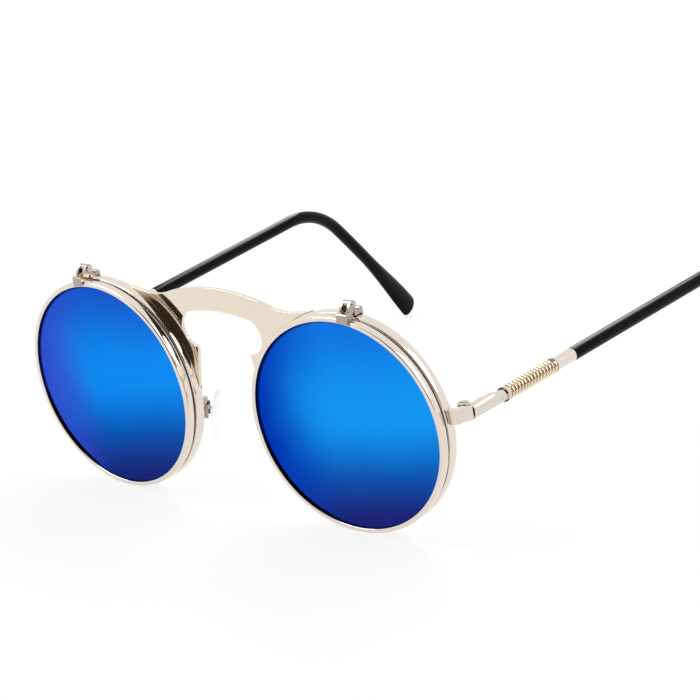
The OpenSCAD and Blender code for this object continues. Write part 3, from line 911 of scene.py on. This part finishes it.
@dataclass
class LensAssembly:
    """Rims and lenses: the clear pair on the frame and the blue pair that flips up."""

    lens_r: float = 24.3
    rim_wall: float = 1.2
    flip_depth: float = 2.1
    rim_gap: float = 0.7
    eye_depth: float = 2.6
    lens_t: float = 1.0
    groove: float = 0.55
    groove_gap: float = 0.1
    lens_inset: float = 0.6
    lens_curve: float = 240.0
    lens_gap: float = 0.04
    lens_shift: float = 0.05
    lens_bevel: float = 0.12
    lens_rings: int = 24
    lens_steps: int = 160
    rim_steps: int = 240
    rounding: float = 0.22
    lip: float = 0.06
    crown: float = 0.24
    crown_rise: float = 0.35
    crown_round: float = 0.4
    corner_steps: int = 5
    cut_at: float = 5.55
    cut_width: float = 0.2
    # Painted reflection: the left lens has coat colours of its own, as what it reflects differs
    # from the right lens.
    left_edge: Colour = (0.036, 0.060, 0.560)
    left_azure: Colour = (0.0050, 0.250, 0.870)
    left_blue: Colour = (0.0090, 0.088, 0.570)
    rim_r: float = field(init=False)

    def __post_init__(self) -> None:
        """Works out the outside of the rims."""
        self.rim_r = self.lens_r + self.rim_wall

    def rim_profile(self, start: float, depth: float) -> list[Range]:
        """Outlines the section of a rim, with its lens groove.

        Args:
            start: Where the rim starts along Y.
            depth: Its depth.

        Returns:
            The closed outline as radius and place along Y.
        """
        inner, outer = self.lens_r, self.rim_r
        bottom = inner + self.groove
        front = start + self.lens_inset
        back = front + self.lens_t + self.groove_gap
        soft, lip = self.rounding, self.lip
        edge, crown = outer - self.crown, outer + self.crown * self.crown_rise
        corners = [
            (inner, start), (edge, start), (crown, start + depth / 2), (edge, start + depth),
            (inner, start + depth), (inner, back), (bottom, back), (bottom, front), (inner, front),
        ]
        radii = [soft, soft, depth * self.crown_round, soft, soft, lip, 0, 0, lip]
        return rounded(corners, radii, self.corner_steps)

    def cut_angle(self, distance: float) -> float:
        """Gives the angle round a rim, in degrees, at a distance from its middle plane."""
        return math.degrees(math.acos(distance / (self.lens_r + self.rim_wall / 2)))

    def build_rim(
        self, side: Side, start: float, depth: float, cut: bool, name: str
    ) -> bpy.types.Object:
        """Builds one rim.

        Args:
            side: The side it is on.
            start: Where it starts along Y.
            depth: Its depth.
            cut: Whether it has the cut beside its hinge.
            name: The piece's name.

        Returns:
            The rim.
        """
        gap = None
        if cut:
            gap = self.cut_angle(self.cut_at + self.cut_width), self.cut_angle(self.cut_at)
        shell = Shell()
        shell.add_turned(self.rim_profile(start, depth), self.rim_steps, gap)
        return shell.finish(name, PLACE.lens(side), POLISHED.material())

    def drop(self, radius: float) -> float:
        """How far a lens surface falls back at a distance from its middle."""
        return self.lens_curve - math.sqrt(self.lens_curve**2 - radius**2)

    def build_lens(
        self, side: Side, start: float, name: str, material: bpy.types.Material
    ) -> bpy.types.Object:
        """Builds one curved lens with a bevelled edge.

        Args:
            side: The side it is on.
            start: Where the front of its groove is, along Y.
            name: The piece's name.
            material: Its finish.

        Returns:
            The lens.
        """
        edge = self.lens_r + self.groove - self.lens_gap
        near = start + self.lens_shift
        far = near + self.lens_t
        reach = [edge * i / self.lens_rings for i in range(self.lens_rings)]
        front = [(r, self.drop(r) - self.drop(edge) + near) for r in reach]
        back = [(r, y + self.lens_t) for r, y in reversed(front)]
        side_wall = [
            (edge - self.lens_bevel, near),
            (edge, near + self.lens_bevel),
            (edge, far - self.lens_bevel),
            (edge - self.lens_bevel, far),
        ]
        profile = front[1:] + side_wall + back[:-1]
        shell = Shell()
        shell.add_turned(profile, self.lens_steps)
        self.close_poles(shell, len(profile), front[0][1], back[-1][1])
        return shell.finish(name, PLACE.lens(side), material)

    def close_poles(self, shell: Shell, size: int, front: float, back: float) -> None:
        """Replaces the tube down a lens's middle by its two poles.

        Args:
            shell: The turned lens.
            size: How many points each ring has.
            front: Where the front pole is along Y.
            back: Where the back pole is along Y.
        """
        count = len(shell.points) // size
        shell.faces = [
            face for face in shell.faces
            if not (face[0] % size == size - 1 and face[1] % size == 0)
        ]
        first = len(shell.points)
        shell.points.extend((Vector((0, front, 0)), Vector((0, back, 0))))
        for i in range(count):
            near, far = i * size, (i + 1) % count * size
            shell.faces.append((first, near, far))
            shell.faces.append((first + 1, far + size - 1, near + size - 1))

    def darken_back(self, lens: bpy.types.Object, side: Side) -> None:
        """Gives the back and the edge of a blue lens their smoke finish.

        Args:
            lens: The lens.
            side: The side it is on.
        """
        lens.data.materials.append(SMOKE.material())
        forward = (PLACE.lens(side).to_3x3() @ Vector((0, -1, 0))).normalized()
        for face in lens.data.polygons:
            face.material_index = 0 if face.normal.dot(forward) > 0.5 else 1

    def build(self) -> None:
        """Builds both pairs."""
        eye_start = self.flip_depth + self.rim_gap
        for side in Side:
            word = side.label
            flip = f"{word}_flip"
            rim = self.build_rim(side, 0.0, self.flip_depth, True, f"front_rim_{word}")
            hand_over(rim, POLISHED, flip, f"flip_rim_{word}")
            rim = self.build_rim(side, eye_start, self.eye_depth, False, f"back_rim_{word}")
            hand_over(rim, POLISHED, "frame", f"eye_rim_{word}")
            middle = PLACE.lens(side) @ Vector((0, self.lens_inset, 0)) / MM
            coat = MirrorLens(f"blue_mirror_{word}", "mirror_lens", centre=tuple(middle))
            # The left lens takes its own colours of painted reflection.
            if side is Side.LEFT:
                azure, blue, edge = self.left_azure, self.left_blue, self.left_edge
                coat = replace(coat, azure=azure, blue=blue, edge=edge)
            lens = self.build_lens(side, self.lens_inset, f"blue_lens_{word}", coat.material())
            self.darken_back(lens, side)
            hand_over(lens, coat, flip, f"mirror_lens_{word}")
            start = eye_start + self.lens_inset
            lens = self.build_lens(side, start, f"plain_lens_{word}", CLEAR.material())
            hand_over(lens, CLEAR, "frame", f"clear_lens_{word}")


@dataclass
class FrameMetal:
    """Bridge plate, flip hinges, end pieces and pad arms: copies with rounded edges."""

    plate_bevel: float = 0.06
    hinge_bevel: float = 0.07
    end_bevel: float = 0.14
    joint_bevel: float = 0.05
    small_bevel: float = 0.04

    def build(self) -> None:
        """Builds every piece of the front that isn't a rim or a lens."""
        dress("bridge", "frame", PLATE, self.plate_bevel)
        for side in Side:
            word = side.label
            for node, body, finish, bevel in (
                ("flip_base", "frame", DEEP_PAINTED_SHADE_PLATING, self.hinge_bevel),
                ("flip_leaf", f"{word}_flip", DEEP_PAINTED_SHADE_PLATING, self.hinge_bevel),
                ("flip_screw", f"{word}_flip", SCREW, self.small_bevel),
                ("end_piece", "frame", SOFT_PAINTED_SHADE_PLATING, self.end_bevel),
                ("temple_screw", "frame", SCREW, self.joint_bevel),
                ("pad_arm", "frame", DEEP_PAINTED_SHADE_PLATING, self.joint_bevel),
                ("pad_screw", "frame", SCREW, self.small_bevel),
            ):
                dress(f"{node}_{word}", body, finish, bevel)


class WireTree:
    """Geometry Nodes that wind a flat route into a coil and give it its thickness."""

    def __init__(self) -> None:
        """Builds the tree with its named inputs."""
        self.tree = bpy.data.node_groups.new("wound_wire", "GeometryNodeTree")
        sockets = self.tree.interface
        sockets.new_socket("Geometry", in_out="INPUT", socket_type="NodeSocketGeometry")
        for name in ("Coil Radius", "Phase", "Hand", "Start", "Wire Radius"):
            sockets.new_socket(name, in_out="INPUT", socket_type="NodeSocketFloat")
        sockets.new_socket("Sides", in_out="INPUT", socket_type="NodeSocketInt")
        sockets.new_socket("Finish", in_out="INPUT", socket_type="NodeSocketMaterial")
        sockets.new_socket("Geometry", in_out="OUTPUT", socket_type="NodeSocketGeometry")
        self.fill(Canvas(self.tree))

    def fill(self, canvas: Canvas) -> None:
        """Adds the nodes: X of the flat route is the way round, Y the way along.

        Args:
            canvas: The empty tree.
        """
        given = canvas.node("NodeGroupInput").outputs
        place = canvas.node("GeometryNodeInputPosition").outputs[0]
        parts = canvas.node("ShaderNodeSeparateXYZ", {0: place}).outputs
        turn = canvas.math("DIVIDE", parts["X"], given["Coil Radius"])
        angle = canvas.math("MULTIPLY_ADD", turn, given["Hand"], given["Phase"])
        across = canvas.math("MULTIPLY", canvas.math("COSINE", angle), given["Coil Radius"])
        upwards = canvas.math("MULTIPLY", canvas.math("SINE", angle), given["Coil Radius"])
        along = canvas.math("ADD", parts["Y"], given["Start"])
        wound = canvas.node("ShaderNodeCombineXYZ", {0: across, 1: along, 2: upwards})
        moved = canvas.node(
            "GeometryNodeSetPosition", {"Geometry": given["Geometry"], "Position": wound.outputs[0]}
        )
        route = canvas.node("GeometryNodeMeshToCurve", {0: moved.outputs[0]})
        ring = canvas.node(
            "GeometryNodeCurvePrimitiveCircle",
            {"Resolution": given["Sides"], "Radius": given["Wire Radius"]},
        )
        tube = canvas.node(
            "GeometryNodeCurveToMesh",
            {"Curve": route.outputs[0], "Profile Curve": ring.outputs[0], "Fill Caps": True},
        )
        plain = canvas.node("GeometryNodeRealizeInstances", {0: tube.outputs[0]})
        smooth = canvas.node("GeometryNodeSetShadeSmooth", {0: plain.outputs[0]})
        dressed = canvas.node(
            "GeometryNodeSetMaterial", {"Geometry": smooth.outputs[0], "Material": given["Finish"]}
        )
        canvas.node("NodeGroupOutput", {0: dressed.outputs[0]})

    def wind(
        self, name: str, flat: Outline, place: Matrix, values: dict[str, object]
    ) -> bpy.types.Object:
        """Winds one route.

        Args:
            name: The piece's name.
            flat: The route as distance round and distance along, in millimetres.
            place: Matrix from millimetres to metres on the table.
            values: The tree's inputs by name.

        Returns:
            A plain mesh object, at the origin.
        """
        mesh = bpy.data.meshes.new(f"{name}_route")
        edges = [(i, i + 1) for i in range(len(flat) - 1)]
        mesh.from_pydata([(x, y, 0.0) for x, y in flat], edges, [])
        source = add_object(f"{name}_route", mesh)
        modifier = source.modifiers.new("wound_wire", "NODES")
        modifier.node_group = self.tree
        for item in self.tree.interface.items_tree:
            if item.in_out == "INPUT" and item.name in values:
                modifier[item.identifier] = values[item.name]
        graph = bpy.context.evaluated_depsgraph_get()
        plain = bpy.data.meshes.new_from_object(source.evaluated_get(graph))
        source.modifiers.remove(modifier)
        bpy.data.objects.remove(source)
        plain.name = name
        settle(plain, place, Shading.CREASED)
        return add_object(name, plain)


@dataclass
class TempleAssembly:
    """The two temples: flat front, coil spring, ferrule and black sleeve."""

    spring_r: float = 1.7
    spring_wire: float = 0.64
    spring_pitch: float = 1.1
    spring_start: float = 22.1
    spring_end: float = 40.2
    spring_phase: float = 200.0
    turn_in: float = 0.45
    turn_in_steps: int = 8
    turn_steps: int = 30
    wire_sides: int = 12
    sleeve_start: float = 46.4
    sleeve_r: float = 1.6
    bend_start: float = 102.4
    bend_r: float = 26.0
    bend_angle: float = 47.6
    hook_length: float = 44.0
    hook_curve: float = 440.0
    paddle_w: float = 6.0
    paddle_t: float = 2.4
    paddle_flare: float = 26.0
    paddle_round: float = 1.9
    paddle_short: float = 0.6
    mouth_round: float = 0.35
    sleeve_sides: int = 48
    sleeve_rings: tuple[int, int, int] = (14, 32, 40)
    front_bevel: float = 0.12
    ferrule_bevel: float = 0.1
    coil_r: float = field(init=False)
    bend_arc: float = field(init=False)
    sleeve_end: float = field(init=False)

    def __post_init__(self) -> None:
        """Works out the coil's middle radius and the sleeve's length."""
        self.coil_r = self.spring_r - self.spring_wire / 2
        self.bend_arc = self.bend_r * math.radians(self.bend_angle)
        self.sleeve_end = self.bend_start + self.bend_arc + self.hook_length - self.paddle_short

    def spring_route(self) -> list[Range]:
        """Lays out the spring's wire flat.

        Returns:
            Points as distance round the coil and distance along the temple.
        """
        climb = math.atan2(self.spring_pitch, 2 * math.pi * self.coil_r)
        lead = self.spring_wire
        rise = lead + self.turn_in * math.cos(climb)
        run = self.turn_in * (1 - math.sin(climb))
        length = self.spring_end - self.spring_start
        coil_rise = length - 2 * rise
        coil_run = coil_rise / math.tan(climb)
        steps = math.ceil(coil_run / (2 * math.pi * self.coil_r) * self.turn_steps)
        step = (math.pi / 2 - climb) / self.turn_in_steps
        bend = [
            (self.turn_in * (1 - math.cos(a)), lead + self.turn_in * math.sin(a))
            for a in (step * i for i in range(1, self.turn_in_steps + 1))
        ]
        start = [(0.0, 0.0), (0.0, lead), *bend]
        coil = [(run + coil_run * i / steps, rise + coil_rise * i / steps) for i in range(1, steps)]
        total = 2 * run + coil_run
        end = [(total - x, length - y) for x, y in reversed(start)]
        return start + coil + end

    def sleeve_place(self, length: float) -> tuple[float, float, float]:
        """Finds a point of the sleeve's middle line.

        Args:
            length: Distance along the line.

        Returns:
            Place along the temple, height, and the angle turned down, in radians.
        """
        if length < self.bend_start:
            return length, 0.0, 0.0
        if length < self.bend_start + self.bend_arc:
            angle = (length - self.bend_start) / self.bend_r
            along = self.bend_start + self.bend_r * math.sin(angle)
            return along, -self.bend_r * (1 - math.cos(angle)), angle
        full = math.radians(self.bend_angle)
        angle = full + (length - self.bend_start - self.bend_arc) / self.hook_curve
        on = self.hook_curve * (math.sin(angle) - math.sin(full))
        fall = self.hook_curve * (math.cos(full) - math.cos(angle))
        along = self.bend_start + self.bend_r * math.sin(full) + on
        return along, -self.bend_r * (1 - math.cos(full)) - fall, angle

    def sleeve_ring(self, length: float) -> list[Vector]:
        """Draws the sleeve's section at a station.

        Args:
            length: Distance along the middle line.

        Returns:
            The ring's points.
        """
        along, height, angle = self.sleeve_place(length)
        share = within(1 - (self.sleeve_end - self.paddle_round - length) / self.paddle_flare)
        share = share * share * (3 - 2 * share)
        to_end = within((self.sleeve_end - length) / self.paddle_round)
        corner = self.paddle_round / (self.paddle_w / 2)
        closing = 1 - corner * (1 - math.sqrt(1 - (1 - to_end) ** 2))
        mouth = self.mouth_round * (1 - within((length - self.sleeve_start) / self.mouth_round))
        wide, thick = (
            (self.sleeve_r + (size / 2 - self.sleeve_r) * share) * closing - mouth * mouth
            for size in (self.paddle_w, self.paddle_t)
        )
        ring = []
        for k in range(self.sleeve_sides):
            a = 2 * math.pi * k / self.sleeve_sides
            out, up = thick * math.cos(a), wide * math.sin(a)
            ring.append(
                Vector((out, along + up * math.sin(angle), height + up * math.cos(angle)))
            )
        return ring

    def build_sleeve(self, side: Side) -> bpy.types.Object:
        """Builds one black sleeve.

        Args:
            side: The side it is on.

        Returns:
            The sleeve.
        """
        start, cap, mouth = self.sleeve_start, self.paddle_round, self.mouth_round
        bend, hook = self.bend_start, self.bend_start + self.bend_arc
        stations = [start + mouth * (1 - math.cos(math.radians(a))) for a in range(0, 91, 15)]
        lengths = ((start, bend), (bend, hook), (hook, self.sleeve_end - cap))
        for (first, last), count in zip(lengths, self.sleeve_rings):
            stations += [first + (last - first) * i / count for i in range(1, count + 1)]
        stations += [
            self.sleeve_end - cap * (1 - math.sin(math.radians(a))) for a in range(6, 90, 6)
        ]
        shell = Shell()
        shell.add_rings([self.sleeve_ring(station) for station in stations])
        name = f"black_sleeve_{side.label}"
        return shell.finish(name, PLACE.temple(side), SLEEVE.material())

    def build(self) -> None:
        """Builds both temples."""
        winder = WireTree()
        route = self.spring_route()
        for side in Side:
            word = side.label
            body = f"{word}_temple"
            spring = winder.wind(
                f"coil_spring_{word}",
                route,
                PLACE.temple(side),
                {
                    "Coil Radius": self.coil_r,
                    "Phase": math.radians(self.spring_phase),
                    "Hand": float(side.value),
                    "Start": self.spring_start,
                    "Wire Radius": self.spring_wire / 2,
                    "Sides": self.wire_sides,
                    "Finish": SPRING.material(),
                },
            )
            hand_over(spring, SPRING, body, f"temple_spring_{word}")
            sleeve = self.build_sleeve(side)
            hand_over(sleeve, SLEEVE, body, f"temple_tip_{word}")
            for node, finish, bevel in (
                ("temple_front", SOFT_PAINTED_SHADE_PLATING, self.front_bevel),
                ("ferrule", POLISHED, self.ferrule_bevel),
                ("temple_rod", SPRING, 0.0),
            ):
                dress(f"{node}_{word}", body, finish, bevel)


@dataclass
class NosePads:
    """Clear silicone pads, each with the small box that its screw goes through."""

    thick: float = 2.2
    high: float = 12.0
    wide: float = 7.0
    drop: float = 1.3
    offset: float = 1.3
    around: int = 64
    rings: int = 24
    lower_lean: float = 0.16
    upper_lean: float = 0.064
    roundness: float = 0.95
    box_half: float = 0.75
    box_depth: float = 1.9
    hole_r: float = 0.41
    barrel_r: float = 0.9
    barrel_round: float = 0.1
    barrel_steps: int = 48

    def outline(self) -> list[Vector]:
        """Draws the teardrop seen from the nose.

        Returns:
            The outline's points: X is the pad's width, Y its height.
        """
        points = []
        half_w, half_h = self.wide / 2, self.high / 2
        for k in range(self.around):
            a = 2 * math.pi * k / self.around
            up = math.sin(a)
            lean = 1 - up * up * (self.lower_lean if up < 0 else self.upper_lean)
            points.append(Vector((math.cos(a) * half_w * lean, up * half_h)))
        return points

    def build_pad(self, side: Side) -> bpy.types.Object:
        """Builds one pad.

        Args:
            side: The side it is on.

        Returns:
            The pad.
        """
        shell = Shell()
        outline = self.outline()
        half_t = self.thick / 2
        rings = []
        for k in range(1, self.rings):
            a = math.pi * k / self.rings
            deep = -self.offset - half_t * (1 + math.cos(a))
            inset = math.sqrt(1 - (1 - math.sin(a)) * self.roundness)
            rings.append(
                [Vector((deep, point.x * inset, point.y * inset - self.drop)) for point in outline]
            )
        shell.add_rings(rings)
        name = f"silicone_pad_{side.label}"
        return shell.finish(name, PLACE.pad(side), SILICONE.material(), Shading.SMOOTH)

    def build_core(self, side: Side) -> bpy.types.Object:
        """Builds the small box and barrel on the pad's back.

        Args:
            side: The side it is on.

        Returns:
            The box.
        """
        shell = Shell()
        half, hole, outer = self.box_half, self.hole_r, self.barrel_r
        shell.add_block((-self.box_depth, -half, -half), (0.0, half, half))
        barrel = [(hole, -half), (outer, -half), (outer, half), (hole, half)]
        soft = self.barrel_round
        shell.add_turned(rounded(barrel, [0, soft, soft, 0]), self.barrel_steps)
        name = f"pad_box_{side.label}"
        return shell.finish(name, PLACE.pad(side), SILICONE.material())

    def build(self) -> None:
        """Builds both pads."""
        for side in Side:
            word = side.label
            body = f"{word}_pad"
            hand_over(self.build_pad(side), SILICONE, body, f"nose_pad_{word}")
            hand_over(self.build_core(side), SILICONE, body)


@dataclass(frozen=True)
class Lamp:
    """A soft lamp that faces the glasses: place and size in metres, power in watts."""

    name: str
    at: Point
    size: Range
    power: float
    along: Point = (1.0, 0.0, 0.0)

    def hang(self, lit: Sequence[str] = ()) -> None:
        """Hangs the lamp.

        Args:
            lit: The names of the only objects that it lights; none means all.
        """
        light = bpy.data.lights.new(self.name, "AREA")
        light.shape = "RECTANGLE"
        light.size, light.size_y = self.size
        light.energy = self.power
        lamp = add_object(self.name, light)
        lamp.location = self.at
        lamp.rotation_mode = "QUATERNION"
        back = Vector(self.at).normalized()
        length = Vector(self.along)
        length = (length - length.dot(back) * back).normalized()
        axes = Matrix((length, back.cross(length), back)).transposed()
        lamp.rotation_quaternion = axes.to_quaternion()
        if lit:
            group = bpy.data.collections.new(f"lit_by_{self.name}")
            for name in lit:
                group.objects.link(bpy.data.objects[name])
            lamp.light_linking.receiver_collection = group


KEY_LAMP = Lamp("key_lamp", (-0.55, -0.35, 0.95), (0.7, 0.7), 6.2)
FILL_LAMP = Lamp("fill_lamp", (0.85, 0.25, 0.75), (0.8, 0.8), 3.5)
STRIP_LAMP = Lamp("strip_lamp", (-0.25, 0.65, 0.72), (1.10, 0.22), 7.0, (0.83, -0.06, 0.56))


@dataclass
class Studio:
    """Pale floor, soft lamps, white surroundings and the camera."""

    camera_at: Point = (0.39597, -0.49725, 0.20029)
    aim_at: Point = (-0.01379, -0.01354, 0.02003)
    camera_roll: float = -4.3754
    focal: float = 138.857
    sensor: float = 36.0
    floor_half: float = 3.0
    floor_gap: float = 0.0002
    dark_side: Colour = (0.045, 0.032, 0.024)
    dark_step: Range = (0.52, 0.72)
    diffuse_cut: float = 0.55

    def build_floor(self) -> None:
        """Lays the floor just under the glasses."""
        made = bmesh.new()
        bmesh.ops.create_grid(made, x_segments=2, y_segments=2, size=self.floor_half)
        mesh = bpy.data.meshes.new("floor")
        made.to_mesh(mesh)
        made.free()
        mesh.materials.append(FLOOR.material())
        floor = add_object("floor", mesh)
        floor.location.z = -self.floor_gap

    def build_world(self) -> None:
        """Sets the surroundings: white to the camera, a soft room to the metal."""
        world = bpy.data.worlds.new("studio")
        world.use_nodes = True
        bpy.context.scene.world = world
        canvas = Canvas(world.node_tree)
        way = canvas.node("ShaderNodeTexCoord").outputs["Generated"]
        towards = (Vector(self.camera_at) - Vector(self.aim_at)).normalized()
        facing = canvas.node("ShaderNodeVectorMath", {0: way, 1: towards}, operation="DOT_PRODUCT")
        dark = canvas.smooth_step(facing.outputs["Value"], *self.dark_step)
        room = canvas.blend(dark, WHITE, self.dark_side)
        colour = canvas.blend(canvas.seen_directly(), room, WHITE)
        diffuse = canvas.node("ShaderNodeLightPath").outputs["Is Diffuse Ray"]
        strength = canvas.math(
            "SUBTRACT", 1.0, canvas.math("MULTIPLY", diffuse, self.diffuse_cut)
        )
        back = canvas.node("ShaderNodeBackground", {"Color": colour, "Strength": strength})
        canvas.node("ShaderNodeOutputWorld", {"Surface": back.outputs[0]})

    def build_camera(self) -> None:
        """Puts the camera where the photograph was taken from."""
        lens = bpy.data.cameras.new("camera")
        lens.sensor_width = self.sensor
        lens.lens = self.focal
        lens.clip_start = 0.01
        lens.clip_end = 20.0
        camera = add_object("camera", lens)
        camera.location = self.camera_at
        way = Vector(self.aim_at) - Vector(self.camera_at)
        roll = Matrix.Rotation(math.radians(self.camera_roll), 4, "Z").to_quaternion()
        camera.rotation_mode = "QUATERNION"
        camera.rotation_quaternion = way.to_track_quat("-Z", "Y") @ roll
        bpy.context.scene.camera = camera

    def build(self) -> None:
        """Builds the whole studio."""
        bpy.context.scene.view_settings.view_transform = "Standard"
        self.build_camera()
        self.build_floor()
        self.build_world()
        KEY_LAMP.hang()
        FILL_LAMP.hang()
        STRIP_LAMP.hang(["floor", *(f"black_sleeve_{side.label}" for side in Side)])


def main() -> None:
    """Builds the glasses and the studio, and logs each step and each piece's face count."""
    logging.basicConfig(level=logging.INFO, format="%(name)s: %(message)s")
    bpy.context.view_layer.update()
    steps: list[tuple[str, Callable[[], None]]] = [
        ("rims and lenses", LensAssembly().build),
        ("front", FrameMetal().build),
        ("temples", TempleAssembly().build),
        ("nose pads", NosePads().build),
        ("studio", Studio().build),
    ]
    for name, build in steps:
        LOG.info("building the %s", name)
        build()


if __name__ == "__main__":
    main()
